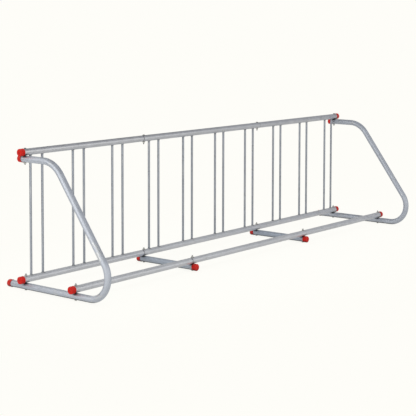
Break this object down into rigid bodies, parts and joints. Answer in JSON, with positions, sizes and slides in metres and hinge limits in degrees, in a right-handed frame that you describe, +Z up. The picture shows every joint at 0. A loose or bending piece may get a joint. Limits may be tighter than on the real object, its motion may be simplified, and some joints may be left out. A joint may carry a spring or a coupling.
{
  "type": "floor bike rack",
  "caption": "Single-sided floor bike rack: bolted tube rails with paired pickets that hold front wheels, bent end hoops, cross feet and push-on red end caps.",
  "frame": {"origin": "middle of the rack's outline on the floor plane", "axes": "+X along the rack to its right end, +Y towards its back (the grid's side), +Z up"},
  "size_m": [2.989, 0.7189, 0.7333],
  "materials": {
    "galvanised_tube": "satin galvanised steel, faint spangle",
    "picket_bar": "satin galvanised steel bar",
    "zinc_fastener": "bright zinc plate",
    "red_cap": "semi-gloss moulded red polyethylene"
  },
  "bodies": {
    "root": {"bolts_front_rail": "zinc_fastener", "bolts_lower_rail": "zinc_fastener", "bolts_top_ends": "zinc_fastener", "bolts_top_joints": "zinc_fastener", "cap_foot_front_left": "red_cap", "cap_foot_front_right": "red_cap", "cap_foot_rear_left": "red_cap", "cap_foot_rear_right": "red_cap", "cap_front_rail_left": "red_cap", "cap_front_rail_right": "red_cap", "cap_hoop_lower_left": "red_cap", "cap_hoop_lower_right": "red_cap", "cap_hoop_upper_left": "red_cap", "cap_hoop_upper_right": "red_cap", "cap_lower_rail_left": "red_cap", "cap_lower_rail_right": "red_cap", "cap_top_rail_left": "red_cap", "cap_top_rail_right": "red_cap", "cross_foot_left": "galvanised_tube", "cross_foot_right": "galvanised_tube", "end_hoop_left": "galvanised_tube", "end_hoop_right": "galvanised_tube", "front_rail_left": "galvanised_tube", "front_rail_middle": "galvanised_tube", "front_rail_right": "galvanised_tube", "lower_rail_left": "galvanised_tube", "lower_rail_middle": "galvanised_tube", "lower_rail_right": "galvanised_tube", "nuts_front_rail": "zinc_fastener", "nuts_lower_rail": "zinc_fastener", "nuts_top_ends": "zinc_fastener", "nuts_top_joints": "zinc_fastener", "picket_01": "picket_bar", "picket_02": "picket_bar", "picket_03": "picket_bar", "picket_04": "picket_bar", "picket_05": "picket_bar", "picket_06": "picket_bar", "picket_07": "picket_bar", "picket_08": "picket_bar", "picket_09": "picket_bar", "picket_10": "picket_bar", "picket_11": "picket_bar", "picket_12": "picket_bar", "picket_13": "picket_bar", "picket_14": "picket_bar", "picket_15": "picket_bar", "picket_16": "picket_bar", "picket_17": "picket_bar", "picket_18": "picket_bar", "picket_19": "picket_bar", "picket_20": "picket_bar", "top_rail_left": "galvanised_tube", "top_rail_middle": "galvanised_tube", "top_rail_right": "galvanised_tube", "washers_front_rail": "zinc_fastener", "washers_lower_rail": "zinc_fastener", "washers_top_ends": "zinc_fastener", "washers_top_joints": "zinc_fastener"}
  },
  "joints": []
}
